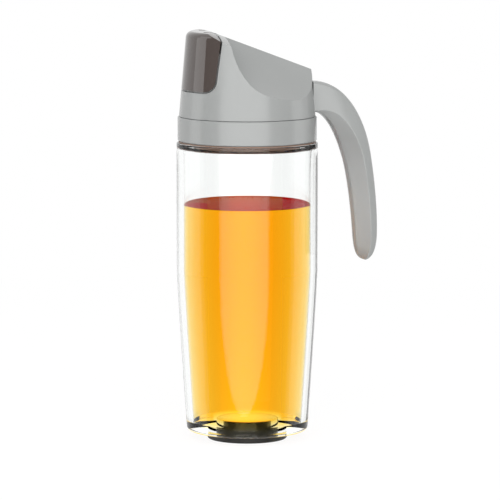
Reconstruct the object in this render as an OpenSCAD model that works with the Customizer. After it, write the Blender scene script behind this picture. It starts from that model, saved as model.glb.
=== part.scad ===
// Oil dispenser bottle: glass body, screw-on pouring head with a gravity flap, and a side handle.
// Z is up, the foot stands on z = 0, the spout looks along -X and the handle along +X.

/* [Glass body] */
// Radius of the glass at its straight upper part
glass_r = 40; // [36:0.5:46]
// Height of the shoulder above the table
shoulder_z = 169.5; // [150:0.5:190]
// Height at which the lower taper begins
taper_z = 96; // [70:1:120]
// How much the radius shrinks from there to the bottom
taper_drop = 5.6; // [3:0.1:8]
// Thickness of the glass wall
glass_wall = 3.8; // [3:0.1:5]
// Thickness of glass under the oil
glass_floor = 3.8; // [3.4:0.1:9]
// Width of the shoulder, from the side of the glass to the neck
shoulder_w = 4; // [3:0.1:7]
// Thickness of the neck wall
neck_wall = 3.6; // [3:0.1:5]
// Height of the neck above the shoulder
neck_h = 9.8; // [9:0.1:14]
// Rounding of the glass at the bottom edge
bottom_round = 2.4; // [1:0.1:4]
// Rounding of the glass at the shoulder
shoulder_round = 1; // [0.6:0.1:2]
// Thickness of the glass over and round the foot's boss
boss_wall = 2.2; // [1.8:0.1:4]
// Rounding inside at the floor
floor_round = 2; // [1:0.1:5]

/* [Oil] */
// Depth of the oil above the glass floor
oil_depth = 125.8; // [60:1:140]

/* [Foot] */
// Radius of the soft foot
foot_r = 22.7; // [19:0.1:28]
// Height of the foot below the glass
foot_h = 4.8; // [3.5:0.1:7]
// Radius of the boss that plugs into the glass
plug_r = 17.4; // [14:0.1:19]
// Height of that boss
plug_h = 6.8; // [5:0.1:8]

/* [Rings] */
// Width of the flat soft ring that lies on the shoulder
neck_ring_w = 2.7; // [2:0.1:3.2]
// Thickness of that ring
neck_ring_h = 0.7; // [0.5:0.1:1.2]
// Thickness of the mouth gasket
gasket_h = 1.6; // [1:0.1:2.5]

/* [Collar] */
// Gap between neck and collar, where the threads run
thread_gap = 1.6; // [1.2:0.1:2]
// Thickness of the collar's wall
collar_wall = 1.8; // [1.5:0.1:3]
// Height of the collar's outer wall
collar_h = 13.7; // [12:0.1:18]
// Thickness of the flange that closes it
flange_h = 2.5; // [1.8:0.1:3]
// Radius of the opening in the flange
flange_hole_r = 17; // [15:0.1:18.5]

/* [Head] */
// How far the head's base stands inside the collar's outer wall
head_step = 0.8; // [0.3:0.1:1.5]
// Height of the head above the collar
head_h = 47.9; // [42:0.1:54]
// Draft angle of its side
head_draft = 5; // [3:0.1:6]
// Wall thickness
head_wall = 2.2; // [1.8:0.1:2.6]
// Rounding of the top rim
rim_round = 3.6; // [2.5:0.1:4.5]
// Radius of the top, seen from the side: it falls towards the handle
top_arc_r = 110; // [100:5:300]
// Distance of its highest line in front of the axis
top_arc_x = 29; // [20:0.5:34]
// Radius of the ridge, seen along it
ridge_r = 150; // [110:5:250]
// Slope of the ridge that falls towards the handle
ridge_slope = 20.75; // [17:0.25:24]
// Drop of the ridge line below the top, measured at the axis
ridge_drop = 8.1; // [6.5:0.1:9.5]
// Sideways slope of the two roof facets
roof_slope = 33.4; // [29:0.2:37]
// Half width of the flat ridge
ridge_half = 2; // [1.5:0.1:3]
// Radius of the hollow in each facet, across the slope
scoop_r = 110; // [90:5:300]

/* [Flap] */
// Depth of the flap from the head's front to its rear seam, at the top
flap_depth = 19.8; // [17:0.1:22]
// Lean of that seam
seam_lean = 7.9; // [5:0.1:10]
// Height of the flap's lower edge above the head's base
flap_low = 15.4; // [13:0.1:18]
// Rounding of its lower rear corners
flap_corner = 6.5; // [4:0.1:8]
// Thickness of the flap
flap_wall = 1.8; // [1.4:0.1:2.2]
// Gap between flap and head
flap_gap = 0.9; // [0.6:0.1:1.2]
// Radius of the hinge barrel along the flap's top edge
barrel_r = 3.6; // [3:0.1:4]
// Radius of the hinge pin
pin_r = 1; // [0.8:0.05:1.3]
// How far the hinge pin ends short of the flap's side
pin_cover = 4.3; // [3:0.1:7]

/* [Spout] */
// Outer radius of the pouring tube
nozzle_r = 5.4; // [5:0.1:5.8]
// Radius of its bore
nozzle_bore = 4; // [3.5:0.1:4.3]
// Distance of the tube's foot in front of the axis
nozzle_x = 2.5; // [0:0.1:5]
// Height above the plate at which the tube aims at the flap's front
aim_h = 32.3; // [30:0.1:34]
// Distance from the tube's mouth to that point
mouth_gap = 9.8; // [8:0.1:12]
// Radius of the silicone stopper
stopper_r = 5.6; // [5:0.1:6]
// Thickness of the stopper
stopper_h = 2.5; // [2:0.1:3]

/* [Handle] */
// Reach of the handle from the axis
handle_reach = 73.6; // [68:0.5:82]
// Height of the handle's root above the head's base
handle_top = 19.4; // [17.5:0.1:21]
// Length of the handle from its top to its tip
handle_len = 102; // [90:1:115]
// Width of the handle
handle_w = 19; // [16:0.5:22]

/* [Hidden] */
$fn = 96;
arc_n = 6;             // steps of a small arc
run = 1;               // overrun of cuts
fit = 0.2;             // clearance between pieces that are screwed together
touch = 0.3;           // clearance between pieces that move past each other
reach = 400;           // side of the blocks that stand for half spaces

body_low = foot_h;
neck_r = glass_r - shoulder_w;
neck_ring_r = neck_r + fit + neck_ring_w;
collar_bore_r = neck_r + thread_gap;
collar_r = collar_bore_r + collar_wall;
head_r = collar_r - head_step;
seam_x = head_r - flap_depth;
floor_z = body_low + glass_floor;
rim_z = shoulder_z + neck_h;
plate_z = rim_z + gasket_h;
plate_h = 1.8;
plate_r = collar_bore_r - 1.2;
flange_z = plate_z + plate_h;
collar_z = shoulder_z + neck_ring_h + fit;
collar_top = collar_z + collar_h;
spigot_r = head_r - head_wall - 2*fit;
head_z = collar_top + touch;
top_z = head_z + head_h;
neck_bore = neck_r - neck_wall;
aim_z = flange_z + aim_h;
nozzle_lean = atan((cone_r(aim_z) - flap_wall - nozzle_x)/aim_h);
nozzle_len = aim_h/cos(nozzle_lean) - mouth_gap;

function arc(c, r, a0, a1, n = arc_n) =
    [for (i = [0:n]) c + r*[cos(a0 + (a1 - a0)*i/n), sin(a0 + (a1 - a0)*i/n)]];
function bezier(p, t) =
    pow(1 - t, 3)*p[0] + 3*pow(1 - t, 2)*t*p[1] + 3*(1 - t)*t*t*p[2] + pow(t, 3)*p[3];

// Glass: outer radius at a height. The taper is a soft power curve.
taper_share = 1.12;
taper_steps = 8;
function glass_out(z) =
    z >= taper_z ? glass_r
    : glass_r - taper_drop*pow((taper_z - z)/(taper_z - body_low), taper_share);
glass_slope = atan(taper_drop*taper_share/(taper_z - body_low));
bottom_r = glass_out(body_low + bottom_round) - bottom_round;

// One side of the hollow, from the raised middle of the floor up to a height, kept a gap inside the glass
mound_r = plug_r + fit + boss_wall;
mound_z = body_low + plug_h + fit + boss_wall;
function hollow(gap, top) = let (
        low = floor_z + gap,
        fr = floor_round,
        wall = glass_wall + gap,
        r0 = glass_out(low + fr) - wall
    ) concat(
        [[0, mound_z + gap]],
        arc([mound_r - boss_wall/2 + gap, mound_z - boss_wall/2 + gap], boss_wall/2, 90, 0, 4),
        [[mound_r + gap, low]],
        arc([r0 - fr, low + fr], fr, -90, -glass_slope),
        [for (i = [taper_steps - 2:-1:0]) let (z = taper_z - (taper_z - low)*i/taper_steps)
            if (z > low + fr + gap && z < top) [glass_out(z) - wall, z]],
        [[glass_out(top) - wall, top]]);

inner_shoulder = shoulder_z - 0.8*glass_wall;

module glass_bottle() {
    outer = concat(
        [[0, body_low]],
        arc([bottom_r, body_low + bottom_round], bottom_round, -90, -glass_slope),
        [for (i = [taper_steps - 1:-1:0]) let (z = taper_z - (taper_z - body_low)*i/taper_steps)
            [glass_out(z), z]],
        arc([glass_r - shoulder_round, shoulder_z - shoulder_round], shoulder_round, 0, 90),
        [[neck_r, shoulder_z]],
        [[neck_r, rim_z - neck_wall/6]],
        arc([neck_r - neck_wall/6, rim_z - neck_wall/6], neck_wall/6, 0, 90, 3),
        arc([neck_bore + neck_wall/6, rim_z - neck_wall/6], neck_wall/6, 90, 180, 3),
        [[neck_bore, inner_shoulder + glass_wall/8]]);
    inner = hollow(0, inner_shoulder);
    back = [for (i = [len(inner) - 1:-1:0]) inner[i]];
    color([0.86, 0.93, 0.93, 0.35])
        difference() {
            rotate_extrude() polygon(concat(outer, back));
            translate([0, 0, body_low - run]) cylinder(r = plug_r + fit, h = plug_h + fit + run);
        }
}

module oil_fill() {
    color([0.98, 0.65, 0.05, 0.8])
        rotate_extrude()
            polygon(concat(hollow(fit, floor_z + oil_depth), [[0, floor_z + oil_depth]]));
}

module base_pad() {
    edge = foot_h/8;
    color([0.16, 0.16, 0.15])
        rotate_extrude() polygon([[0, 0], [foot_r - edge, 0], [foot_r, edge], [foot_r, foot_h - edge],
            [foot_r - edge, foot_h], [plug_r, foot_h], [plug_r, foot_h + plug_h - edge],
            [plug_r - edge, foot_h + plug_h], [0, foot_h + plug_h]]);
}

module neck_ring() {
    color([0.62, 0.5, 0.43])
        rotate_extrude() polygon([[neck_r + fit, shoulder_z], [neck_ring_r, shoulder_z],
            [neck_ring_r, shoulder_z + neck_ring_h], [neck_r + fit, shoulder_z + neck_ring_h]]);
}

module mouth_gasket() {
    color([0.92, 0.92, 0.9])
        translate([0, 0, rim_z])
            difference() {
                cylinder(r = neck_r - fit, h = gasket_h);
                translate([0, 0, -run]) cylinder(r = neck_bore + fit, h = gasket_h + 2*run);
            }
}

// Four screws clamp plate, collar and head together
screw_r = 1.45;
screw_head_r = 2.8;
screw_head_h = 2;
screw_len = 14;
screw_ring = flange_hole_r + 2*screw_head_r + 3*fit;
module at_screws() {
    for (a = [45:90:315]) rotate([0, 0, a]) translate([screw_ring, 0, 0]) children();
}

module collar() {
    edge = 0.5;
    color([0.7, 0.7, 0.7])
        difference() {
            rotate_extrude() polygon([[collar_bore_r, collar_z], [collar_r - edge, collar_z],
                [collar_r, collar_z + edge], [collar_r, collar_top - edge], [collar_r - edge, collar_top],
                [spigot_r, collar_top], [spigot_r, flange_z + flange_h],
                [flange_hole_r, flange_z + flange_h], [flange_hole_r, flange_z],
                [collar_bore_r, flange_z]]);
            at_screws() translate([0, 0, flange_z - run])
                cylinder(r = screw_r + fit, h = flange_h + 2*run);
        }
}

// The tube's own frame: Z runs along its axis, from the top face of the plate
module along_nozzle() {
    translate([-nozzle_x, 0, flange_z]) rotate([0, -nozzle_lean, 0]) children();
}

vent_r = 1.5;
module spout_plate() {
    color([0.2, 0.19, 0.18])
        difference() {
            union() {
                translate([0, 0, plate_z]) cylinder(r = plate_r, h = plate_h);
                difference() {
                    along_nozzle() translate([0, 0, -nozzle_r - plate_h])
                        cylinder(r = nozzle_r, h = nozzle_len + nozzle_r + plate_h);
                    translate([-reach/2, -reach/2, plate_z - reach]) cube(reach);
                }
            }
            along_nozzle() translate([0, 0, -2*nozzle_r]) cylinder(r = nozzle_bore, h = 2*nozzle_len);
            at_screws() translate([0, 0, plate_z - run])
                cylinder(r = screw_r + fit, h = plate_h + 2*run);
            translate([flange_hole_r/1.5, 0, plate_z - run]) cylinder(r = vent_r, h = plate_h + 2*run);
        }
}

module head_screws() {
    color([0.75, 0.75, 0.75])
        at_screws() {
            translate([0, 0, plate_z - screw_head_h]) cylinder(r = screw_head_r, h = screw_head_h);
            translate([0, 0, plate_z]) cylinder(r = screw_r, h = screw_len);
        }
}

// Head: the drafted cone with its crown, less the two scoops, everything moved inwards by i
function cone_r(z) = head_r - (z - head_z)*tan(head_draft);

// Where the scoops end against the front block: shares of the depth behind the seam and of the height
crease_shares = [[0.0923, 0.8725], [0.127, 0.62], [0.258, 0.3175], [0.484, 0.276]];
crease = [for (s = crease_shares) [s[0]*(head_r + seam_x) - seam_x, head_z + s[1]*head_h]];

module scoops(i) {
    side_tilt = atan(tan(roof_slope)*cos(ridge_slope));
    roof_z = top_z - ridge_drop + ridge_half*tan(roof_slope);
    facet_half = (head_r - ridge_half)/cos(side_tilt)/2;
    start = ridge_half/cos(side_tilt);
    intersection() {
        for (s = [-1, 1])
            translate([0, 0, roof_z]) rotate([-s*side_tilt, ridge_slope, 0])
                translate([-reach/2, s*(start + facet_half), sqrt(scoop_r*scoop_r - facet_half*facet_half)])
                    rotate([0, 90, 0]) cylinder(r = scoop_r + i, h = reach);
        translate([-i, reach/2, 0]) rotate([90, 0, 0]) linear_extrude(reach)
            polygon(concat(
                [[crease[0][0], top_z + head_h]],
                [for (k = [0:8]) bezier(crease, k/8)],
                [[crease[3][0], head_z], [2*head_r, head_z], [2*head_r, top_z + head_h]]));
    }
}

module head_form(i) {
    t = top_z - i;
    low = i > 0 ? head_z - run : head_z;
    rr = rim_round - i/2;
    difference() {
        intersection() {
            rotate_extrude() polygon(concat(
                [[0, low], [cone_r(low) - i, low]],
                arc([cone_r(t - rr) - i - rr, t - rr], rr, head_draft, 90),
                [[0, t]]));
            translate([-top_arc_x, reach/2, top_z - top_arc_r]) rotate([90, 0, 0])
                cylinder(r = top_arc_r - i, h = reach);
            translate([0, 0, top_z - ridge_drop - i/cos(ridge_slope)]) rotate([0, ridge_slope, 0])
                translate([-reach/2, 0, -ridge_r]) rotate([0, 90, 0]) cylinder(r = ridge_r, h = reach);
        }
        scoops(i);
    }
}

// Side outline of the flap, grown by g: the lower edge, a round corner and the leaning seam
seam_drop = 3;
seam_z = top_z - seam_drop;
flap_z = head_z + flap_low;
corner_z = flap_z + flap_corner;
corner_x = -seam_x - (flap_corner + (seam_z - corner_z)*sin(seam_lean))/cos(seam_lean);
function seam_at(z) = -seam_x - (seam_z - z)*tan(seam_lean);
module flap_prism(g, half = reach/2) {
    up = head_h + run;
    translate([0, half, 0]) rotate([90, 0, 0]) linear_extrude(2*half)
        polygon(concat(
            [[-2*head_r, flap_z - g]],
            arc([corner_x, corner_z], flap_corner + g, -90, -seam_lean),
            [[seam_at(corner_z + up) + g/cos(seam_lean), corner_z + up], [-2*head_r, corner_z + up]]));
}

// A rim of the head that reaches inside the flap and hides the seam
lip_t = 1.2;
lip_out = 1.3;
module seam_lip() {
    intersection() {
        difference() {
            head_form(flap_wall + touch);
            head_form(flap_wall + touch + lip_t);
            flap_prism(-lip_out);
        }
        flap_prism(flap_gap + fit);
        translate([-2*head_r, -head_r, head_z]) cube([2*head_r, 2*head_r, hinge_z - 2*barrel_r - head_z]);
    }
}

hinge_z = top_z - barrel_r;
hinge_x = seam_at(hinge_z) - barrel_r/cos(seam_lean);
pin_len = 2*(sqrt(cone_r(hinge_z)*cone_r(hinge_z) - hinge_x*hinge_x) - pin_cover);
module along_hinge(len, r) {
    translate([hinge_x, len/2, hinge_z]) rotate([90, 0, 0]) cylinder(r = r, h = len);
}

lug_y = 10;
lug_w = 3.4;
lug_r = barrel_r - touch;
module at_lugs(w) {
    for (s = [-1, 1]) translate([0, s*lug_y + w/2, 0]) rotate([90, 0, 0]) linear_extrude(w) children();
}

// The handle bolts on through the rear wall at two heights
bolt_r = 1.5;
bolt_head_r = 2.8;
bolt_head_h = 1.8;
bolt_len = 12;
handle_z = head_z + handle_top;
root_h = 17;
bolt_zs = [handle_z - root_h*0.72, handle_z - root_h*0.28];
pad_t = 2.1;           // flat pad inside the wall, which the clamp bears on
clamp_x = head_r - head_wall - pad_t;
clamp_h = 1.2;

module head_shell() {
    boss_r = 3.4;
    color([0.68, 0.68, 0.68])
        difference() {
            union() {
                difference() {
                    head_form(0);
                    difference() {
                        head_form(head_wall);
                        flap_prism(flap_gap + head_wall);
                        at_screws() translate([0, 0, flange_z + flange_h])
                            cylinder(r = boss_r, h = head_h);
                        translate([clamp_x, -handle_w/3, head_z]) cube([head_r, handle_w*2/3, head_h]);
                    }
                    flap_prism(flap_gap);
                    along_hinge(2*head_r, barrel_r + touch);
                }
                intersection() {
                    head_form(0);
                    at_lugs(lug_w) {
                        translate([hinge_x, hinge_z]) circle(r = lug_r);
                        translate([hinge_x, hinge_z - lug_r])
                            square([barrel_r + flap_gap + head_wall/2, 2*lug_r]);
                    }
                }
                seam_lip();
            }
            along_nozzle() cylinder(r = nozzle_r + fit, h = 2*nozzle_len);
            along_hinge(2*head_r, pin_r + fit/10);
            at_screws() translate([0, 0, flange_z]) cylinder(r = screw_r + fit/4, h = screw_len);
            for (z = bolt_zs) translate([0, 0, z]) rotate([0, 90, 0]) cylinder(r = bolt_r + fit, h = 2*head_r);
            translate([0, 0, head_z - 2*run]) cylinder(r = spigot_r + fit, h = flange_z + flange_h - head_z + 2*run);
        }
}

module hinge_pin() {
    color([0.75, 0.75, 0.76]) along_hinge(pin_len, pin_r);
}

module flap_shell() {
    color([0.42, 0.38, 0.37])
        difference() {
            union() {
                difference() {
                    intersection() {
                        head_form(0);
                        flap_prism(0);
                    }
                    difference() {
                        head_form(flap_wall);
                        along_hinge(2*head_r, barrel_r);
                    }
                    translate([hinge_x, -head_r, hinge_z]) cube(2*head_r);
                }
                intersection() {
                    head_form(0);
                    along_hinge(2*head_r, barrel_r);
                }
            }
            along_hinge(pin_len + 2*fit, pin_r + fit/4);
            at_lugs(lug_w + 2*touch) translate([hinge_x - barrel_r, hinge_z - barrel_r])
                square([3*barrel_r, 3*barrel_r]);
        }
}

cup_wall = 1.4;
cup_r = stopper_r + cup_wall;
module stopper_holder() {
    seat = nozzle_len + touch + stopper_h;
    color([0.42, 0.38, 0.37])
        intersection() {
            along_nozzle() difference() {
                translate([0, 0, seat - stopper_h*0.6]) cylinder(r = cup_r, h = stopper_h + 2*cup_r);
                translate([0, 0, seat - stopper_h]) cylinder(r = stopper_r + fit/2, h = stopper_h);
            }
            head_form(flap_wall + fit/2);
            flap_prism(-touch);
        }
}

module stopper() {
    color([0.9, 0.9, 0.88])
        along_nozzle() translate([0, 0, nozzle_len + touch]) cylinder(r = stopper_r, h = stopper_h);
}

// A steel bar inside the flap's front, notched round the stopper's cup
module flap_weight() {
    weight_h = 6;
    weight_t = 2.8;
    weight_w = 30;
    low = flap_z + lip_out + 2*touch;
    color([0.7, 0.7, 0.72])
        intersection() {
            difference() {
                head_form(flap_wall + fit/2);
                head_form(flap_wall + fit/2 + weight_t);
                along_nozzle() cylinder(r = cup_r + touch, h = 2*nozzle_len);
            }
            translate([-2*head_r, -weight_w/2, low]) cube([1.5*head_r, weight_w, weight_h]);
        }
}

// Handle: three curves in the side view, the outer back, the side edge and the inner face.
// Their points are shares of the handle's reach beyond its root and of its length.
root_x = cone_r(handle_z - root_h/2);
outer_shares = [[[0, 1], [0.45, 0.997], [0.785, 0.825], [0.893, 0.6]],
    [[0.893, 0.6], [0.94, 0.492], [1.005, 0.325], [1, 0.14]],
    [[1, 0.14], [0.99, 0.062], [0.93, 0.001], [0.784, 0]]];
edge_shares = [[[0, 0.835], [0.393, 0.874], [0.66, 0.727], [0.775, 0.56]],
    [[0.775, 0.56], [0.83, 0.463], [0.888, 0.306], [0.893, 0.16]],
    [[0.893, 0.16], [0.893, 0.08], [0.885, 0.022], [0.784, 0]]];
inner_shares = [[[0, 0.831], [0.238, 0.81], [0.365, 0.688], [0.466, 0.57]],
    [[0.466, 0.57], [0.542, 0.473], [0.607, 0.296], [0.635, 0.14]],
    [[0.635, 0.14], [0.652, 0.06], [0.69, 0.008], [0.784, 0]]];
stations = 24;
tip_share = 0.97;
function on_curve(shares, u) = let (
        k = min(2, floor(u*3)),
        p = bezier(shares[k], u*3 - k)
    ) [root_x + p[0]*(handle_reach - root_x), handle_z - handle_len + p[1]*handle_len];
function side_half(u) = handle_w/2*(1 - 0.2*u);
function face_half(u) = side_half(u)*(1 - 0.62*min(1, 2.2*u));

// Joins rings of points into one closed skin
module skin(rings) {
    n = len(rings[0]);
    m = len(rings);
    points = [for (r = rings) each r];
    sides = [for (j = [0:m - 2], i = [0:n - 1]) let (k = (i + 1) % n)
        each [[j*n + i, (j + 1)*n + i, (j + 1)*n + k], [j*n + i, (j + 1)*n + k, j*n + k]]];
    polyhedron(points, concat(sides, [[for (i = [0:n - 1]) i], [for (i = [n - 1:-1:0]) (m - 1)*n + i]]));
}

shell_edge = 1.8;
function shell_ring(u) = let (
        o = on_curve(outer_shares, u),
        e = on_curve(edge_shares, u),
        w = side_half(u),
        c = shell_edge,
        d = (e - o)/norm(e - o),
        a = o + d*c*0.3,
        b = o + d*c
    ) [[o[0], -(w - c), o[1]], [a[0], -(w - 0.3*c), a[1]], [b[0], -w, b[1]], [e[0], -w, e[1]],
       [e[0], w, e[1]], [b[0], w, b[1]], [a[0], w - 0.3*c, a[1]], [o[0], w - c, o[1]]];
function cover_ring(u) = let (
        e = on_curve(edge_shares, u),
        i = on_curve(inner_shares, u),
        w = side_half(u),
        v = face_half(u),
        m = (e + 3*i)/4,
        q = v + (w - v)/4
    ) [[e[0], -w, e[1]], [m[0], -q - shell_edge/4, m[1]], [i[0], -v + shell_edge/3, i[1]],
       [i[0], v - shell_edge/3, i[1]], [m[0], q + shell_edge/4, m[1]], [e[0], w, e[1]]];
root_sunk = 4;
function stops(from) = [for (j = [0:stations]) from + (tip_share - from)*j/stations];

// The head's side as a plain cone, which the root of the handle is cut to
module head_side() {
    rotate_extrude() polygon([[0, collar_z], [cone_r(collar_z), collar_z],
        [cone_r(top_z), top_z], [0, top_z]]);
}

module handle_shell() {
    root = [for (p = shell_ring(0)) p - [root_sunk, 0, 0]];
    color([0.66, 0.66, 0.66])
        difference() {
            skin(concat([root], [for (u = stops(0)) shell_ring(u)]));
            head_side();
            for (z = bolt_zs) translate([0, 0, z]) rotate([0, 90, 0])
                cylinder(r = bolt_r + fit/4, h = clamp_x - clamp_h + bolt_len + fit);
        }
}

module handle_cover() {
    color([0.6, 0.6, 0.6])
        difference() {
            skin([for (u = stops(0)) cover_ring(u)]);
            head_side();
        }
}

module handle_clamp() {
    color([0.72, 0.72, 0.72])
        difference() {
            translate([clamp_x - clamp_h, -handle_w/3, handle_z - root_h*0.85])
                cube([clamp_h, handle_w*2/3, root_h*0.7]);
            for (z = bolt_zs) translate([0, 0, z]) rotate([0, 90, 0]) cylinder(r = bolt_r + fit, h = head_r);
        }
}

module handle_screws() {
    color([0.75, 0.75, 0.75])
        for (z = bolt_zs) translate([clamp_x - clamp_h, 0, z]) rotate([0, 90, 0]) {
            translate([0, 0, -bolt_head_h]) cylinder(r = bolt_head_r, h = bolt_head_h);
            cylinder(r = bolt_r, h = bolt_len);
        }
}

glass_bottle();
oil_fill();
base_pad();
neck_ring();
mouth_gasket();
collar();
spout_plate();
head_screws();
head_shell();
hinge_pin();
handle_shell();
handle_cover();
handle_clamp();
handle_screws();
flap_shell();
stopper_holder();
stopper();
flap_weight();
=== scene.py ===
"""Oil dispenser bottle: its finished look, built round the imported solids. The solids are in metres, and sizes
written here are in millimetres unless a name says otherwise. The foot stands on z = 0, the spout looks along
-X and the handle along +X."""

import math

import bmesh
import bpy
from mathutils import Matrix, Vector


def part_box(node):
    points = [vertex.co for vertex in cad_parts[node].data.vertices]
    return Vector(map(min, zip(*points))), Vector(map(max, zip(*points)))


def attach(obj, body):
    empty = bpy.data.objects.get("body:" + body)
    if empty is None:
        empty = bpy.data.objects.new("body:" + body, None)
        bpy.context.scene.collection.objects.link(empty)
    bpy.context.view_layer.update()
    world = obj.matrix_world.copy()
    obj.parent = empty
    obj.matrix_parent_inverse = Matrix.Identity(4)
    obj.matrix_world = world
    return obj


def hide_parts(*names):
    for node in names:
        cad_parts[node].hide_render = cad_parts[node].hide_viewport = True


bl_info = {
    "name": "Oil dispenser bottle",
    "version": (1, 0, 0),
    "blender": (4, 5, 0),
    "location": "3D View > Sidebar > Oil bottle",
    "description": "Glass oil bottle with a screw-on pouring head, a gravity flap and a side handle",
    "category": "Add Mesh",
}

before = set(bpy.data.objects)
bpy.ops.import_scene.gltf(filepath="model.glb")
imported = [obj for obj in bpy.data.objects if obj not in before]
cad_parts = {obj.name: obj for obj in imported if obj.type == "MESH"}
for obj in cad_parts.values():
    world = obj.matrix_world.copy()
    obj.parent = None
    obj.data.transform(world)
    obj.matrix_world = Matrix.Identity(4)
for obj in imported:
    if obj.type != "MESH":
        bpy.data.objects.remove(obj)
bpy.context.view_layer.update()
MM = 0.001


def low(node):
    """Lowest corner of a solid, in millimetres."""
    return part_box(node)[0]/MM


def high(node):
    """Highest corner of a solid, in millimetres."""
    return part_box(node)[1]/MM


# ---------------------------------------------------------------- sizes and colours a user would change

class BottleSizes(bpy.types.PropertyGroup):
    """Sizes of the visible pieces that the solids leave open."""
    round_steps: bpy.props.IntProperty(
        name="Steps round", description="Facets round each turned piece", default=192, min=48, max=512)
    thread_depth: bpy.props.FloatProperty(
        name="Thread depth", description="How far the screw threads stand proud, in millimetres",
        default=1.1, min=0.6, max=1.4)
    thread_lead: bpy.props.FloatProperty(
        name="Thread lead", description="Rise of the screw thread in one turn, in millimetres",
        default=6.0, min=4.0, max=8.0)
    meniscus: bpy.props.FloatProperty(
        name="Meniscus", description="How far the oil climbs at the glass, in millimetres",
        default=0.7, min=0.0, max=1.5)
    soft_edge: bpy.props.FloatProperty(
        name="Soft edge", description="Rounding of moulded edges, in millimetres",
        default=0.5, min=0.2, max=1.0)


class BottleColours(bpy.types.PropertyGroup):
    """Colours of the visible pieces."""
    glass: bpy.props.FloatVectorProperty(
        name="Glass", description="Tint of the glass", subtype="COLOR", size=4,
        default=(0.985, 0.995, 0.99, 1), min=0, max=1)
    oil: bpy.props.FloatVectorProperty(
        name="Oil", description="Colour that the oil lets through", subtype="COLOR", size=4,
        default=(1, 0.815, 0.02, 1), min=0, max=1)
    oil_density: bpy.props.FloatProperty(
        name="Oil depth of colour", description="How strongly the oil colours light, per metre",
        default=80.0, min=5.0, max=200.0)
    # Painted shade: the dark red tint on the oil's top stands in for the darkness of deep oil seen from above
    oil_top_painted_shade: bpy.props.FloatVectorProperty(
        name="Oil surface painted shade", description="Tint of the oil's surface, seen from above", subtype="COLOR", size=4,
        default=(0.12, 0.008, 0.006, 1), min=0, max=1)
    grey: bpy.props.FloatVectorProperty(
        name="Head and handle", description="Colour of the grey mouldings", subtype="COLOR", size=4,
        default=(0.385, 0.395, 0.39, 1), min=0, max=1)
    brown: bpy.props.FloatVectorProperty(
        name="Flap", description="Colour of the glossy flap", subtype="COLOR", size=4,
        default=(0.095, 0.077, 0.07, 1), min=0, max=1)
    rubber: bpy.props.FloatVectorProperty(
        name="Foot", description="Colour of the soft foot", subtype="COLOR", size=4,
        default=(0.03, 0.03, 0.028, 1), min=0, max=1)
    ring: bpy.props.FloatVectorProperty(
        name="Neck ring", description="Colour of the ring round the neck", subtype="COLOR", size=4,
        default=(0.30, 0.19, 0.14, 1), min=0, max=1)
    silicone: bpy.props.FloatVectorProperty(
        name="Seals", description="Colour of the gasket and the stopper", subtype="COLOR", size=4,
        default=(0.72, 0.71, 0.68, 1), min=0, max=1)
    inner: bpy.props.FloatVectorProperty(
        name="Spout plate", description="Colour of the plate and tube inside", subtype="COLOR", size=4,
        default=(0.05, 0.045, 0.04, 1), min=0, max=1)
    steel: bpy.props.FloatVectorProperty(
        name="Steel", description="Colour of pins, screws and weight", subtype="COLOR", size=4,
        default=(0.58, 0.58, 0.57, 1), min=0, max=1)


class BottleStudio(bpy.types.PropertyGroup):
    """Light and camera."""
    distance: bpy.props.FloatProperty(
        name="Camera distance", description="From the bottle's axis", default=2.2, min=1, max=5,
        unit="LENGTH")
    height: bpy.props.FloatProperty(
        name="Camera height", description="Above the floor", default=0.38, min=0, max=2, unit="LENGTH")
    lens: bpy.props.FloatProperty(
        name="Lens", description="Focal length in millimetres", default=281.09, min=35, max=600)
    around: bpy.props.FloatProperty(
        name="Camera turn", description="Towards the spout, from square on",
        default=math.radians(8), subtype="ANGLE")
    tilt: bpy.props.FloatProperty(
        name="Camera tilt", description="Downwards", default=math.radians(7.0547), subtype="ANGLE")
    aside: bpy.props.FloatProperty(
        name="Camera offset", description="To the right", default=0.00158, unit="LENGTH")
    fill: bpy.props.FloatProperty(
        name="Fill light", description="Level of the light from all round", default=0.52, min=0, max=2)
    front_power: bpy.props.FloatProperty(
        name="Front light", description="Power of the large front light", default=9.5, min=0, max=100,
        unit="POWER")
    dark_half: bpy.props.FloatProperty(
        name="Dark room", description="Half the angle that the dark room takes in reflections, in degrees",
        default=82, min=0, max=170)
    window: bpy.props.FloatProperty(
        name="Front window", description="Brightness of the front window in reflections", default=2.2, min=0,
        max=10)
    back_window: bpy.props.FloatProperty(
        name="Back window", description="Brightness of the panel seen through the oil", default=1.4, min=0,
        max=10)
    side_window: bpy.props.FloatProperty(
        name="Side windows", description="Brightness of the side windows in reflections", default=1.4, min=0,
        max=10)


# ---------------------------------------------------------------- materials

WHITE = (1, 1, 1, 1)


def link(tree, source, output, target, entry):
    """Joins a node's output to another node's input."""
    tree.links.new(source.outputs[output], target.inputs[entry])


def add_node(tree, kind, **values):
    """A new node, with values for its inputs by name and for its own settings."""
    made = tree.nodes.new(kind)
    for key, value in values.items():
        if key in made.inputs:
            made.inputs[key].default_value = value
        else:
            setattr(made, key, value)
    return made


def new_finish(name, colour, roughness, **values):
    """A material with one Principled shader, whose steady values sit on its own sockets."""
    finish = bpy.data.materials.new(name)
    finish.use_nodes = True
    finish.diffuse_color = colour
    tree = finish.node_tree
    shader = tree.nodes["Principled BSDF"]
    shader.inputs["Base Color"].default_value = colour
    shader.inputs["Roughness"].default_value = roughness
    for key, value in values.items():
        shader.inputs[key.replace("_", " ")].default_value = value
    return finish, tree, shader


def add_grain(tree, shader, size, depth):
    """Fine relief over the whole surface: size and depth in metres. Gives the node that says where a point
    of the surface is."""
    place = add_node(tree, "ShaderNodeTexCoord")
    noise = add_node(tree, "ShaderNodeTexNoise", Scale=1/size, Detail=2.0)
    bump = add_node(tree, "ShaderNodeBump", Strength=1.0, Distance=depth)
    link(tree, place, "Object", noise, "Vector")
    link(tree, noise, "Fac", bump, "Height")
    link(tree, bump, "Normal", shader, "Normal")
    return place


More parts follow.
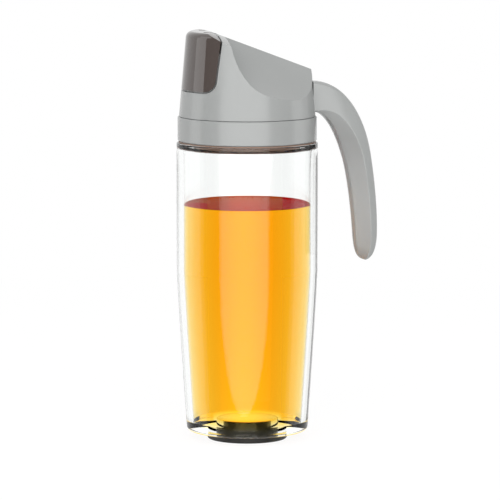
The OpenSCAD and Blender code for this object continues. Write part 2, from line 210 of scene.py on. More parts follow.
def add_mottle(tree, shader, place, colour, spread, size):
    """A slow, slight change of tone: its spread as a share, its size in metres."""
    noise = add_node(tree, "ShaderNodeTexNoise", Scale=1/size, Detail=3.0)
    ramp = add_node(tree, "ShaderNodeValToRGB")
    dark = [c*(1 - spread) for c in colour[:3]] + [1]
    pale = [min(1, c*(1 + spread)) for c in colour[:3]] + [1]
    ramp.color_ramp.elements[0].color = dark
    ramp.color_ramp.elements[1].color = pale
    ramp.color_ramp.elements[0].position = 0.3
    ramp.color_ramp.elements[1].position = 0.7
    link(tree, place, "Object", noise, "Vector")
    link(tree, noise, "Fac", ramp, "Fac")
    link(tree, ramp, "Color", shader, "Base Color")


def add_wear(tree, shader, place, smooth, rough, size):
    """Roughness that wanders between two values, over a size in metres."""
    noise = add_node(tree, "ShaderNodeTexNoise", Scale=1/size, Detail=4.0)
    span = add_node(tree, "ShaderNodeMapRange")
    span.inputs["To Min"].default_value = smooth
    span.inputs["To Max"].default_value = rough
    link(tree, place, "Object", noise, "Vector")
    link(tree, noise, "Fac", span, "Value")
    link(tree, span, "Result", shader, "Roughness")


def make_finishes(colours):
    """All finishes, by name. The oil wets the glass floor, so nothing bends light there."""
    found = {}
    # The oil surface finish carries a dark red tint, which is painted shade over the top of the oil
    for key, tint, bend in (("clear glass", colours.glass, 1.27), ("wet glass", colours.glass, 1.0),
                            ("oil", WHITE, 1.0), ("oil surface painted shade", colours.oil_top_painted_shade, 1.01)):
        finish, tree, _ = new_finish(key, tint, 0.0, Transmission_Weight=1.0, IOR=bend)
        if key.startswith("oil"):
            soak = add_node(
                tree, "ShaderNodeVolumeAbsorption", Color=colours.oil, Density=colours.oil_density)
            link(tree, soak, "Volume", tree.nodes["Material Output"], "Volume")
        found[key] = finish

    # Each row: key, name, colour, roughness, other steady values; size and depth of the grain; spread and
    # size of the mottle; least, most and size of the wear. Sizes and depths are in metres.
    for key, name, colour, roughness, steady, grain, mottle, wear in (
            ("grey", "grey moulding", colours.grey, 0.2, {"IOR": 1.46},
             (0.0005, 0.00001), (0.012, 0.03), (0.18, 0.24, 0.012)),
            ("brown", "glossy brown moulding", colours.brown, 0.05, {"IOR": 1.55},
             (0.004, 0.00001), (0.03, 0.02), (0.03, 0.07, 0.01)),
            ("rubber", "soft black foot", colours.rubber, 0.55, {"IOR": 1.43},
             (0.0004, 0.00003), (0.1, 0.01), None),
            ("ring", "tan soft ring", colours.ring, 0.4, {"IOR": 1.43},
             (0.0005, 0.00002), (0.05, 0.01), None),
            ("silicone", "pale seal", colours.silicone, 0.45,
             {"IOR": 1.43, "Subsurface_Weight": 0.2, "Subsurface_Scale": 0.002},
             (0.0005, 0.00002), (0.03, 0.01), None),
            ("inner", "dark inner moulding", colours.inner, 0.4, {"IOR": 1.48},
             (0.0006, 0.00002), (0.06, 0.01), None),
            ("steel", "turned steel", colours.steel, 0.28, {"Metallic": 1.0},
             (0.0002, 0.000004), None, (0.22, 0.36, 0.003))):
        finish, tree, shader = new_finish(name, colour, roughness, **steady)
        place = add_grain(tree, shader, *grain)
        if mottle:
            add_mottle(tree, shader, place, colour, *mottle)
        if wear:
            add_wear(tree, shader, place, *wear)
        found[key] = finish
    return found


def coat(obj, finish):
    """Gives an object one finish only."""
    obj.data.materials.clear()
    obj.data.materials.append(finish)


# ---------------------------------------------------------------- mesh helpers

def arc(centre, radius, start, end, steps=6):
    """Points of an arc in a plane, angles in degrees."""
    return [(centre[0] + radius*math.cos(math.radians(start + (end - start)*i/steps)),
             centre[1] + radius*math.sin(math.radians(start + (end - start)*i/steps)))
            for i in range(steps + 1)]


def eased(points, radii, steps=5):
    """The outline through the points, with each corner rounded by its radius."""
    out = []
    n = len(points)
    for k, (p, r) in enumerate(zip(points, radii)):
        if r <= 0 or k in (0, n - 1):
            out.append(tuple(p))
            continue
        p = Vector(p)
        a, b = Vector(points[k - 1]) - p, Vector(points[k + 1]) - p
        half = a.angle(b)/2
        cut = min(r/math.tan(half), a.length*0.49, b.length*0.49)
        if cut < 1e-5:
            out.append(tuple(p))
            continue
        r = cut*math.tan(half)
        first, last = p + a.normalized()*cut, p + b.normalized()*cut
        middle = p + (a.normalized() + b.normalized()).normalized()*(r/math.sin(half))
        u, v = first - middle, last - middle
        turn = u.angle(v)
        for i in range(steps + 1):
            t = i/steps
            w = (math.sin((1 - t)*turn)*u + math.sin(t*turn)*v)/math.sin(turn) if turn > 1e-6 else u
            out.append(tuple(middle + w))
    return out


def place_mesh(name, bm, finish):
    """An object made from a bmesh in metres, with one finish."""
    mesh = bpy.data.meshes.new(name)
    bm.to_mesh(mesh)
    bm.free()
    obj = bpy.data.objects.new(name, mesh)
    bpy.context.scene.collection.objects.link(obj)
    coat(obj, finish)
    return obj


def finish_mesh(name, bm, finish, body, nodes, sharp):
    """Turns a bmesh in millimetres into a piece that rides on a body and stands for nodes. Edges sharper than
    an angle in degrees stay sharp."""
    bmesh.ops.remove_doubles(bm, verts=bm.verts, dist=1e-4)
    bmesh.ops.recalc_face_normals(bm, faces=bm.faces)
    bm.transform(Matrix.Scale(MM, 4))
    piece = place_mesh(name, bm, finish)
    piece.data.shade_smooth()
    piece.data.set_sharp_from_angle(angle=math.radians(sharp))
    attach(piece, body)
    if nodes:
        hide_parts(*nodes)
    return piece


def turned(profile, steps, shift=None):
    """A bmesh turned from an outline of (radius, height). shift(radius, height, angle) may move a point's
    radius, as a thread does."""
    bm = bmesh.new()
    rows = []
    for r, z in profile:
        if r < 1e-6:
            rows.append([bm.verts.new((0, 0, z))])
            continue
        row = []
        for i in range(steps):
            a = 2*math.pi*i/steps
            rr = r + (shift(r, z, a) if shift else 0)
            row.append(bm.verts.new((rr*math.cos(a), rr*math.sin(a), z)))
        rows.append(row)
    closed = profile[0][0] > 1e-6 and profile[-1][0] > 1e-6
    pairs = list(zip(rows, rows[1:])) + ([(rows[-1], rows[0])] if closed else [])
    for a, b in pairs:
        for i in range(steps):
            k = (i + 1) % steps
            if len(a) == 1 and len(b) == 1:
                continue
            if len(a) == 1:
                bm.faces.new((a[0], b[k], b[i]))
            elif len(b) == 1:
                bm.faces.new((a[i], a[k], b[0]))
            else:
                bm.faces.new((a[i], a[k], b[k], b[i]))
    return bm


def thread_rise(z, angle, start, end, lead, half_width, depth, offset=0.0):
    """Height of a helical ridge above its root at a height and an angle. Its crest is flat for part of its
    half width, and its ends run out over a sixth of a turn."""
    flat = 0.45
    turn = angle/(2*math.pi)
    best = 0.0
    n = math.floor((z - start)/lead - turn) - 1
    for k in range(n, n + 4):
        middle = start + offset + (turn + k)*lead
        if not start <= middle <= end:
            continue
        run_in = min(1.0, (middle - start)/(lead/6), (end - middle)/(lead/6))
        gap = abs(z - middle)/half_width
        if gap < 1:
            flank = 1 if gap < flat else 0.5 + 0.5*math.cos((gap - flat)/(1 - flat)*math.pi)
            best = max(best, depth*run_in*flank)
    return best


# ---------------------------------------------------------------- the glass, the oil and the foot

BODY_LOW = low("glass_bottle").z
GLASS_R = high("glass_bottle").x
RIM_Z = high("glass_bottle").z
NECK_H = 9.8
SHOULDER_Z = RIM_Z - NECK_H
TAPER_Z = 96
TAPER_DROP = 5.6
TAPER_POWER = 1.12
TAPER_SLOPE = math.degrees(math.atan(TAPER_DROP*TAPER_POWER/(TAPER_Z - BODY_LOW)))
WALL = 3.8
THROAT_Z = 155
FLOOR_Z = BODY_LOW + 3.8
NECK_R = 36.0
NECK_BORE = 32.4
BOSS_R = 17.4
BOSS_H = 6.8
BOSS_GAP = 0.2
BOSS_WALL = 2.2
MOUND_R = BOSS_R + BOSS_GAP + BOSS_WALL
MOUND_Z = BODY_LOW + BOSS_H + BOSS_GAP + BOSS_WALL
MOUND_ROUND = 1.1
TROUGH_ROUND = 1.0
BOTTOM_ROUND = 2.4
FLOOR_ROUND = 2.0
SHOULDER_ROUND = 1.0
RIM_ROUND = 0.8
RECESS_CUT = 0.4
HOLD = 0.1
OIL_GAP = 0.2
WET_DEPTH = 0.05
FLANGE_GAP = 0.05
DIMPLE_R = 3
DIMPLE_H = 0.5
GROOVE_H = 0.5
GROOVE_PITCH = 3
RING_SINK = 0.03
SLEEVE_R = 30.0
SLEEVE_WALL = 1.4
SLEEVE_Z = 165.9
COLLAR_BORE = 37.6


def glass_out(z):
    """Outer radius of the glass at a height."""
    if z >= TAPER_Z:
        return GLASS_R
    return GLASS_R - TAPER_DROP*((TAPER_Z - z)/(TAPER_Z - BODY_LOW))**TAPER_POWER


def wall_rows(start, end, inset, steps=24):
    """Points up the wall between two heights, held an inset inside its outer face."""
    heights = [start + (end - start)*i/steps for i in range(1, steps + 1)]
    return [(glass_out(z) - inset, z) for z in heights]


def hollow_side(gap, top):
    """One side of the hollow from the axis up: the mound over the foot's boss, the trough round it and the
    wall, held a gap inside the glass. The oil wets the floor, so there it reaches just into the glass. A row
    of points holds each flat beside a rounding, so that the flat mirrors as a flat."""
    sunk = -WET_DEPTH if gap else 0.0
    floor = FLOOR_Z + sunk
    crown = MOUND_Z + sunk
    wall = WALL + gap
    corner = glass_out(floor + FLOOR_ROUND) - wall - FLOOR_ROUND
    out = [(0.0, crown), (MOUND_R/2, crown), (MOUND_R - MOUND_ROUND - HOLD, crown)]
    out += arc((MOUND_R + sunk - MOUND_ROUND, crown - MOUND_ROUND), MOUND_ROUND, 90, 0, 8)
    out += arc((MOUND_R + sunk + TROUGH_ROUND, floor + TROUGH_ROUND), TROUGH_ROUND, 180, 270, 8)
    out += [(MOUND_R + TROUGH_ROUND + HOLD, floor), (corner - HOLD, floor)]
    out += arc((corner, floor + FLOOR_ROUND), FLOOR_ROUND, -90, -TAPER_SLOPE, 10)
    end = min(TAPER_Z, top)
    out += wall_rows(floor + FLOOR_ROUND, end, wall)
    if top > end:
        out.append((glass_out(top) - wall, top))
    return out


def wetted(place):
    """Whether a place on the hollow is where the oil wets the glass floor, so that no light bends there."""
    r, z = place.xy.length, place.z
    inside = MOUND_R - MOUND_ROUND - HOLD
    outside = MOUND_R + TROUGH_ROUND + HOLD
    floor = FLOOR_Z - HOLD < z < FLOOR_Z + FLOOR_ROUND and inside < r < glass_out(z) - WALL + HOLD
    flank = FLOOR_Z < z < MOUND_Z + HOLD and inside < r < outside
    crown = MOUND_Z - 0.3 < z < MOUND_Z + HOLD and r < outside
    return floor or flank or crown


class OILBOTTLE_OT_glass(bpy.types.Operator):
    """The glass body: its raised floor, its shoulder and its threaded neck"""
    bl_idname = "oilbottle.glass"
    bl_label = "Glass body"

    def execute(self, context):
        sizes = context.scene.bottle_sizes
        recess, roof = BOSS_R + BOSS_GAP, BODY_LOW + BOSS_H + BOSS_GAP
        held = RECESS_CUT + HOLD
        corner = glass_out(BODY_LOW + BOTTOM_ROUND) - BOTTOM_ROUND
        outer = [(0, roof), (recess - held, roof), (recess - RECESS_CUT, roof), (recess, roof - RECESS_CUT),
                 (recess, roof - held), (recess, BODY_LOW + held), (recess, BODY_LOW + RECESS_CUT),
                 (recess + RECESS_CUT, BODY_LOW), (recess + held, BODY_LOW), (corner - HOLD, BODY_LOW)]
        outer += arc((corner, BODY_LOW + BOTTOM_ROUND), BOTTOM_ROUND, -90, -TAPER_SLOPE, 8)
        outer += wall_rows(BODY_LOW + BOTTOM_ROUND, TAPER_Z, 0)
        outer += arc((GLASS_R - SHOULDER_ROUND, SHOULDER_Z - SHOULDER_ROUND), SHOULDER_ROUND, 0, 90, 8)
        outer.append((NECK_R + 1.0, SHOULDER_Z))
        outer += [(NECK_R, SHOULDER_Z + 0.3 + i*0.3) for i in range(29)]
        outer += arc((NECK_R - RIM_ROUND, RIM_Z - RIM_ROUND), RIM_ROUND, 0, 90, 4)
        outer += arc((NECK_BORE + RIM_ROUND, RIM_Z - RIM_ROUND), RIM_ROUND, 90, 180, 4)
        under = SHOULDER_Z - 0.8*WALL
        bore = GLASS_R - WALL
        throat = eased([(NECK_BORE, RIM_Z - 3), (NECK_BORE, under + WALL/8), (bore, under),
                        (bore, THROAT_Z)], [0, 0.8, 1.2, 0], 7)
        inside = hollow_side(0, under)[:-1]
        profile = outer + throat + list(reversed(inside))
        lead, depth = sizes.thread_lead, sizes.thread_depth

        def shift(r, z, angle):
            if abs(r - NECK_R) > 1e-6 or not SHOULDER_Z + 0.8 < z < RIM_Z - 0.5:
                return 0
            return thread_rise(z, angle, SHOULDER_Z + 2.4, RIM_Z - 1.8, lead, 1.5, depth)

        bm = turned(profile, sizes.round_steps, shift)
        piece = finish_mesh(
            "glass_body", bm, FINISHES["clear glass"], "bottle", ["glass_bottle"], 50)
        piece.data.materials.append(FINISHES["wet glass"])
        for face in piece.data.polygons:
            face.material_index = int(wetted(face.center/MM))
        return {"FINISHED"}


class OILBOTTLE_OT_oil(bpy.types.Operator):
    """The oil, with the curve where it meets the glass"""
    bl_idname = "oilbottle.oil"
    bl_label = "Oil"

    def execute(self, context):
        sizes = context.scene.bottle_sizes
        top = high("oil_fill").z
        side = hollow_side(OIL_GAP, top)
        r = side[-1][0]
        climb = sizes.meniscus
        inward = (0.3, 0.7, 1.2, 1.8, 2.6, 3.6, 5, 8, 14, 24)
        lid = [(r - d, top - climb*(1 - math.exp(-d/1.1))) for d in inward]
        bm = turned(side + lid + [(0, top - climb)], sizes.round_steps)
        piece = finish_mesh("oil", bm, FINISHES["oil"], "bottle", ["oil_fill"], 40)
        # The top faces get the dark red oil surface tint, painted shade for the deep oil seen from above
        piece.data.materials.append(FINISHES["oil surface painted shade"])
        for face in piece.data.polygons:
            if face.center.z > (top - climb - 0.01)*MM and face.normal.z > 0.1:
                face.material_index = 1
        return {"FINISHED"}


class OILBOTTLE_OT_foot(bpy.types.Operator):
    """The soft foot, with rounded edges and grip grooves underneath"""
    bl_idname = "oilbottle.foot"
    bl_label = "Foot"

    def execute(self, context):
        sizes = context.scene.bottle_sizes
        r, top = high("base_pad").x, high("base_pad").z
        flange = BODY_LOW - FLANGE_GAP
        soft = 2*sizes.soft_edge
        points = [(0, DIMPLE_H), (DIMPLE_R, DIMPLE_H), (DIMPLE_R, 0), (r, 0), (r, flange), (BOSS_R, flange),
                  (BOSS_R, top), (0, top)]
        radii = [0, 0.15, 0.15, soft, 0.4, 0.1, 0.4, 0]
        profile = eased(points, radii)
        grooved = []
        for (r0, z0), (r1, z1) in zip(profile, profile[1:]):
            grooved.append((r0, z0))
            if z0 == z1 == 0 and r1 - r0 > 5:
                x = r0 + 2
                while x < r1 - 2:
                    grooved += [(x, 0), (x + 0.25, GROOVE_H), (x + 0.75, GROOVE_H), (x + 1, 0)]
                    x += GROOVE_PITCH
        grooved.append(profile[-1])
        bm = turned(grooved, sizes.round_steps)
        finish_mesh("foot", bm, FINISHES["rubber"], "bottle", ["base_pad"], 40)
        return {"FINISHED"}


class OILBOTTLE_OT_rings(bpy.types.Operator):
    """The soft ring round the neck, the gasket on the glass rim and the sleeve below the spout plate"""
    bl_idname = "oilbottle.rings"
    bl_label = "Ring, gasket and sleeve"

    def execute(self, context):
        sizes = context.scene.bottle_sizes
        for node, name, finish, body, slot, inner in (
                ("neck_ring", "neck_band", "ring", "bottle", "tan_silicone", NECK_R + 0.2),
                ("mouth_gasket", "rim_gasket", "silicone", "seal", "pale_silicone", NECK_BORE + 0.2)):
            r, z0, z1 = high(node).x, low(node).z, high(node).z
            waist = (z0 + z1)/2
            soft = min(sizes.soft_edge, (z1 - z0)*0.3)
            base = z0 - RING_SINK if node == "neck_ring" else z0
            points = [(inner, base), (r, base), (r - 0.1, waist), (r, z1), (inner, z1), (inner, waist)]
            profile = eased(points, [0, soft, 0.3, soft, 0.1, 0])
            bm = turned(profile, sizes.round_steps)
            finish_mesh(name, bm, FINISHES[finish], body, [node], 40)
        top = low("spout_plate").z
        inner = SLEEVE_R - SLEEVE_WALL
        points = [(inner, SLEEVE_Z + 0.6), (SLEEVE_R - 0.6, SLEEVE_Z), (SLEEVE_R, SLEEVE_Z + 1.2),
                  (SLEEVE_R, top), (inner, top)]
        bm = turned(eased(points, [0.3, 0.3, 0.6, 0, 0]), sizes.round_steps)
        finish_mesh("neck_sleeve", bm, FINISHES["ring"], "lid", (), 40)
        return {"FINISHED"}


class OILBOTTLE_OT_collar(bpy.types.Operator):
    """The screw collar, with its thread inside"""
    bl_idname = "oilbottle.collar"
    bl_label = "Collar"

    def execute(self, context):
        sizes = context.scene.bottle_sizes
        coat(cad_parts["collar"], FINISHES["grey"])
        start = low("collar").z + 0.3
        height, margin, steps = 9.2, 1.4, 36
        lead, depth = sizes.thread_lead, 0.85*sizes.thread_depth
        rows = [start + height*i/steps for i in range(steps + 1)]
        inside = [(COLLAR_BORE, z) for z in rows]
        back = [(COLLAR_BORE + 0.4, z) for z in reversed(rows)]

        def shift(r, z, angle):
            if r > COLLAR_BORE + 0.1:
                return 0
            return -thread_rise(
                z, angle, start + margin, start + height - margin, lead, 1.2, depth, lead/2)

        bm = turned(inside + back, sizes.round_steps, shift)
        finish_mesh("collar_thread", bm, FINISHES["grey"], "lid", (), 50)
        return {"FINISHED"}


# ---------------------------------------------------------------- the handle

# Three cubic curves each, from the head down to the tip: the outer back, the edge between back and face, and
# the inner face. The first number is a share of the reach from the root, the second of the handle's length.
OUTER = [[[0, 1], [0.45, 0.997], [0.785, 0.825], [0.893, 0.6]],
         [[0.893, 0.6], [0.94, 0.492], [1.005, 0.325], [1, 0.14]],
         [[1, 0.14], [0.99, 0.062], [0.93, 0.001], [0.784, 0]]]
EDGE = [[[0, 0.835], [0.393, 0.874], [0.66, 0.727], [0.775, 0.56]],
        [[0.775, 0.56], [0.83, 0.463], [0.888, 0.306], [0.893, 0.16]],
        [[0.893, 0.16], [0.893, 0.08], [0.885, 0.022], [0.784, 0]]]
INNER = [[[0, 0.831], [0.238, 0.81], [0.365, 0.688], [0.466, 0.57]],
         [[0.466, 0.57], [0.542, 0.473], [0.607, 0.296], [0.635, 0.14]],
         [[0.635, 0.14], [0.652, 0.06], [0.69, 0.008], [0.784, 0]]]
HEAD_Z = low("head_shell").z
HEAD_R = high("head_shell").x
DRAFT = math.radians(5)
HANDLE_REACH = high("handle_shell").x
HANDLE_Z = high("handle_shell").z
HANDLE_LEN = 102.0
HANDLE_W = high("handle_shell").y*2
HANDLE_END = 0.985
STATIONS = 120
ROOT_IN = 1.2
ROOT_DROP = 8.5
BACK_SLIM = 1.7
ROOT_X = HEAD_R - (HANDLE_Z - ROOT_DROP - HEAD_Z)*math.tan(DRAFT)


def bezier(p, t):
    """A point of a cubic curve in a plane."""
    shares = (1 - t)**3, 3*(1 - t)**2*t, 3*(1 - t)*t*t, t**3
    return tuple(sum(share*point[axis] for share, point in zip(shares, p)) for axis in (0, 1))


def on_curve(curves, u):
    """A point of the handle's side view, from 0 at the head to 1 at the tip."""
    k = min(2, int(u*3))
    x, z = bezier(curves[k], u*3 - k)
    return Vector((ROOT_X + x*(HANDLE_REACH - ROOT_X), HANDLE_Z - HANDLE_LEN + z*HANDLE_LEN))


def side_half(u):
    """Half the handle's width at its edge."""
    return HANDLE_W/2*(1 - 0.2*u)


def face_half(u):
    """Half the width of the flat of its inner face."""
    return side_half(u)*(1 - 0.7*min(1, 0.2 + 3*u))


def lofted(rings):
    """A bmesh skin over closed rings of points, closed at both ends."""
    bm = bmesh.new()
    rows = [[bm.verts.new(p) for p in ring] for ring in rings]
    n = len(rows[0])
    for a, b in zip(rows, rows[1:]):
        for i in range(n):
            k = (i + 1) % n
            bm.faces.new((a[i], a[k], b[k], b[i]))
    bm.faces.new(rows[0])
    bm.faces.new(list(reversed(rows[-1])))
    return bm


class OILBOTTLE_OT_handle(bpy.types.Operator):
    """The handle: its outer back and sides, and its chamfered inner face"""
    bl_idname = "oilbottle.handle"
    bl_label = "Handle"

    def execute(self, context):
        def half_ring(points, radii):
            """Rounds one half of a section, then mirrors it to close the ring."""
            half = eased(points, radii, 4)
            return half + [(x, -y) for x, y in reversed(half)]

        backs, faces = [], []
        for i in range(-1, STATIONS + 1):
            u = HANDLE_END*max(0, i)/STATIONS
            root = Vector((ROOT_IN*(i < 0), 0))
            o, e, n = (on_curve(curves, u) - root for curves in (OUTER, EDGE, INNER))
            w, v = side_half(u), face_half(u)
            d = e - o
            depth = d.length
            d.normalize()
            ease = min(1.0, depth/6)
            slim = BACK_SLIM*ease*min(1, u*6)
            section = half_ring(
                [(0, 0), (0, slim - w), (depth - 0.5*ease, -w), (depth, -w), (depth, 0)],
                [0, 1.8*ease, 0.8*ease, 0, 0])
            backs.append([(o.x + d.x*s, y, o.y + d.y*s) for s, y in section])
            d = n - e
            depth = d.length
            d.normalize()
            section = half_ring(
                [(0, 0), (0, -w), (depth*0.86, -(v + (w - v)*0.12)), (depth, -v*0.55), (depth, 0)],
                [0, 0, 0.25*depth, 1.2*ease, 0])
            faces.append([(e.x + d.x*s, y, e.y + d.y*s) for s, y in section])
        for name, rings, node in (("handle_back", backs, "handle_shell"),
                                  ("handle_face", faces, "handle_cover")):
            finish_mesh(name, lofted(rings), FINISHES["grey"], "lid", [node], 32)
        return {"FINISHED"}


class OILBOTTLE_OT_head(bpy.types.Operator):
    """The pouring head"""
    bl_idname = "oilbottle.head"
    bl_label = "Head"

    def execute(self, context):
        coat(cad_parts["head_shell"], FINISHES["grey"])
        return {"FINISHED"}


class OILBOTTLE_OT_flap(bpy.types.Operator):
    """The flap with its stopper, cup, weight and pin"""
    bl_idname = "oilbottle.flap"
    bl_label = "Flap"

    def execute(self, context):
        for node, finish in (("flap_shell", "brown"), ("stopper_holder", "brown"), ("stopper", "silicone"),
                             ("flap_weight", "steel"), ("hinge_pin", "steel")):
            coat(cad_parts[node], FINISHES[finish])
        return {"FINISHED"}


class OILBOTTLE_OT_fittings(bpy.types.Operator):
    """The spout plate, the screws and the clamp behind the handle"""
    bl_idname = "oilbottle.fittings"
    bl_label = "Inner fittings"

    def execute(self, context):
        for node, finish in (("spout_plate", "inner"), ("head_screws", "steel"), ("handle_clamp", "steel"),
                             ("handle_screws", "steel")):
            coat(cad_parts[node], FINISHES[finish])
        return {"FINISHED"}


# ---------------------------------------------------------------- floor, light and camera

def echoes(tree):
    """1 for light that has met a mirror or the inside of a glass wall on its way, else 0."""
    path = add_node(tree, "ShaderNodeLightPath")
    echo = add_node(tree, "ShaderNodeMath", operation="GREATER_THAN")
    echo.inputs[1].default_value = 0.5
    link(tree, path, "Glossy Depth", echo, 0)
    return echo


def looks(tree):
    """1 for what the camera sees straight, in mirrors or through glass, else 0."""
    path = add_node(tree, "ShaderNodeLightPath")
    one = add_node(tree, "ShaderNodeMath", operation="MAXIMUM")
    two = add_node(tree, "ShaderNodeMath", operation="MAXIMUM")
    link(tree, path, "Is Camera Ray", one, 0)
    link(tree, path, "Is Glossy Ray", one, 1)
    link(tree, one, 0, two, 0)
    link(tree, path, "Is Transmission Ray", two, 1)
    return two


def mix_looks(tree, share, plain, seen):
    """A mix of what lights the object and what the camera sees."""
    mix = add_node(tree, "ShaderNodeMixShader")
    link(tree, share, 0, mix, "Fac")
    link(tree, plain, 0, mix, 1)
    link(tree, seen, 0, mix, 2)
    return mix


def matt_finish(name, colour, roughness):
    """A finish with no gloss."""
    finish, tree, shader = new_finish(name, (*colour, 1), roughness)
    shader.inputs["Specular IOR Level"].default_value = 0
    return finish, tree, shader


def add_screen(name, colour, glow, radius, start, end, bottom, top, seen, tail):
    """An upright curved screen round the table, whose lower end may be a rounded tail. Only mirrors show it,
    or only what is seen through glass, or only the echoes inside a glass wall. Angles are in degrees, sizes
    in metres."""
    middle, half = (start + end)/2, (end - start)/2
    finish, tree, shader = matt_finish(name, colour, 1.0)
    shader.inputs["Emission Color"].default_value = WHITE
    shader.inputs["Emission Strength"].default_value = glow
    if seen == "echoes":
        link(tree, echoes(tree), 0, shader, "Alpha")
    if seen == "through":
        place = add_node(tree, "ShaderNodeTexCoord")
        across = add_node(tree, "ShaderNodeVectorMath", operation="DOT_PRODUCT")
        side = math.radians(middle + 90)
        across.inputs[1].default_value = (math.cos(side), math.sin(side), 0)
        away = add_node(tree, "ShaderNodeMath", operation="ABSOLUTE")
        level = add_node(tree, "ShaderNodeMapRange", interpolation_type="SMOOTHSTEP")
        for key, value in (("From Max", 0.3*radius), ("To Min", glow), ("To Max", 1)):
            level.inputs[key].default_value = value
        link(tree, place, "Object", across, 0)
        link(tree, across, "Value", away, 0)
        link(tree, away, 0, level, "Value")
        link(tree, level, "Result", shader, "Emission Strength")
    steps = 24
    levels = []
    if tail:
        curve = [math.radians(7.5*i) for i in range(1, 12)]
        levels = [(bottom + tail*(1 - math.cos(a)), math.sin(a)) for a in curve]
    levels += [(bottom + tail, 1), (top, 1)]
    bm = bmesh.new()
    rows = [[bm.verts.new((x, y, z))
             for x, y in arc((0, 0), radius, middle - half*width, middle + half*width, steps)]
            for z, width in levels]
    for low_row, high_row in zip(rows, rows[1:]):
        for i in range(steps):
            bm.faces.new((low_row[i], low_row[i + 1], high_row[i + 1], high_row[i]))
    screen = place_mesh(name, bm, finish)
    screen.visible_camera = screen.visible_diffuse = screen.visible_shadow = False
    screen.visible_glossy, screen.visible_transmission = seen == "mirrors", seen != "mirrors"


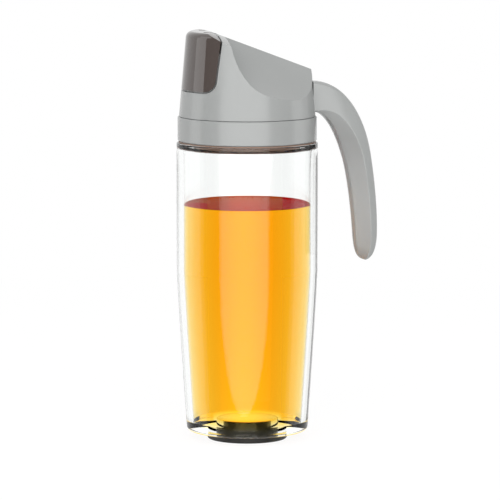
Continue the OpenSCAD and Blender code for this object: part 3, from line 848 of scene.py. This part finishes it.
class OILBOTTLE_OT_stage(bpy.types.Operator):
    """A pale floor, soft light and the camera"""
    bl_idname = "oilbottle.stage"
    bl_label = "Stage"

    def execute(self, context):
        scene = context.scene
        studio = scene.bottle_studio
        scene.view_settings.view_transform = "Standard"

        camera = bpy.data.cameras.new("camera")
        camera.lens, camera.sensor_width = studio.lens, 36
        camera.clip_start, camera.clip_end = 0.05, 50
        eye = bpy.data.objects.new("camera", camera)
        turn, tilt = studio.around, studio.tilt
        ahead = Vector((math.sin(turn), math.cos(turn), 0))
        right = Vector((math.cos(turn), -math.sin(turn), 0))
        up = Vector((0, 0, 1))
        eye.location = -ahead*studio.distance + up*studio.height + right*studio.aside
        look = ahead*math.cos(tilt) - up*math.sin(tilt)
        eye.rotation_euler = look.to_track_quat("-Z", "Y").to_euler()
        scene.collection.objects.link(eye)
        scene.camera = eye

        world = bpy.data.worlds.new("studio")
        scene.world = world
        world.use_nodes = True
        tree = world.node_tree
        tree.nodes.clear()
        seen = add_node(tree, "ShaderNodeBackground", Color=WHITE, Strength=1.0)
        fill = add_node(tree, "ShaderNodeBackground", Color=WHITE, Strength=studio.fill)
        mix = mix_looks(tree, looks(tree), fill, seen)
        link(tree, mix, 0, add_node(tree, "ShaderNodeOutputWorld"), "Surface")

        finish, tree, shader = matt_finish("pale floor", (0.9, 0.9, 0.9), 0.9)
        glow = add_node(tree, "ShaderNodeEmission", Color=WHITE, Strength=1.08)
        share = add_node(tree, "ShaderNodeMath", operation="MULTIPLY")
        share.inputs[1].default_value = 0.85
        link(tree, looks(tree), 0, share, 0)
        pale = mix_looks(tree, share, shader, glow)
        clear = add_node(tree, "ShaderNodeBsdfTransparent")
        mix = mix_looks(tree, echoes(tree), pale, clear)
        link(tree, mix, 0, tree.nodes["Material Output"], "Surface")
        bm = bmesh.new()
        bmesh.ops.create_circle(bm, cap_ends=True, segments=96, radius=0.7)
        floor = place_mesh("floor", bm, finish)
        floor.visible_glossy = False

        # Each row: name, colour, glow, distance, start and end round the table from the camera's side, foot
        # and head height, what shows it, and the height of its rounded tail
        front = -90 - math.degrees(studio.around)
        black, white = (0.012, 0.012, 0.012), (0.8, 0.8, 0.8)
        half = studio.dark_half
        for name, colour, glow, radius, start, end, bottom, top, seen, tail in (
                ("dark_room", black, 0, 1.9, -half, half, -1.6, 1.7, "mirrors", 0),
                ("dark_room_echo", black, 0, 1.92, -half, half, -1.6, 1.7, "echoes", 0),
                ("front_window", white, studio.window, 1.8, -46, 36, -0.53, 1.3, "mirrors", 0.19),
                ("front_window_echo", white, studio.window, 1.82, -46, 36, -0.535, 1.3, "echoes", 0.19),
                ("left_window", white, studio.side_window, 1.9, -108, -half, -1.6, 1.7, "mirrors", 0),
                ("right_window", white, studio.side_window, 1.9, half, 108, -1.6, 1.7, "mirrors", 0),
                ("back_window", black, studio.back_window, 0.07, 161, 202, -0.2, 0.3, "through", 0),
                ("dark_strip", black, 0, 0.6, 163.5, 182.5, -0.3, 0.1, "echoes", 0)):
            add_screen(name, colour, glow, radius, front + start, front + end, bottom, top, seen, tail)

        lamp = bpy.data.lights.new("front_light", "AREA")
        lamp.shape = "RECTANGLE"
        lamp.size, lamp.size_y, lamp.energy = 1.56, 1.3, studio.front_power
        light = bpy.data.objects.new("front_light", lamp)
        place = 0.55*up - ahead
        light.location = place
        light.rotation_euler = (0.13*up - place).to_track_quat("-Z", "Y").to_euler()
        light.visible_glossy = light.visible_transmission = False
        scene.collection.objects.link(light)
        return {"FINISHED"}


class OILBOTTLE_PT_panel(bpy.types.Panel):
    """Lists the pieces and their settings"""
    bl_label = "Oil bottle"
    bl_idname = "OILBOTTLE_PT_panel"
    bl_space_type = "VIEW_3D"
    bl_region_type = "UI"
    bl_category = "Oil bottle"

    def draw(self, context):
        for operator in PIECES:
            self.layout.operator(operator.bl_idname)
        for group in GROUPS:
            box = self.layout.box()
            for key in getattr(context.scene, group).bl_rna.properties.keys():
                if key not in ("rna_type", "name"):
                    box.prop(getattr(context.scene, group), key)


PIECES = (OILBOTTLE_OT_stage, OILBOTTLE_OT_glass, OILBOTTLE_OT_oil, OILBOTTLE_OT_foot, OILBOTTLE_OT_rings,
          OILBOTTLE_OT_collar, OILBOTTLE_OT_head, OILBOTTLE_OT_flap, OILBOTTLE_OT_handle,
          OILBOTTLE_OT_fittings)
GROUPS = {"bottle_sizes": BottleSizes, "bottle_colours": BottleColours, "bottle_studio": BottleStudio}
FINISHES = {}


def register():
    for kind in (*GROUPS.values(), *PIECES, OILBOTTLE_PT_panel):
        bpy.utils.register_class(kind)
    for name, kind in GROUPS.items():
        setattr(bpy.types.Scene, name, bpy.props.PointerProperty(type=kind))


def unregister():
    for name in GROUPS:
        delattr(bpy.types.Scene, name)
    for kind in (OILBOTTLE_PT_panel, *reversed(PIECES), *reversed(list(GROUPS.values()))):
        bpy.utils.unregister_class(kind)


def main():
    register()
    FINISHES.update(make_finishes(bpy.context.scene.bottle_colours))
    for operator in PIECES:
        group, name = operator.bl_idname.split(".")
        getattr(getattr(bpy.ops, group), name)()


if __name__ == "__main__":
    main()
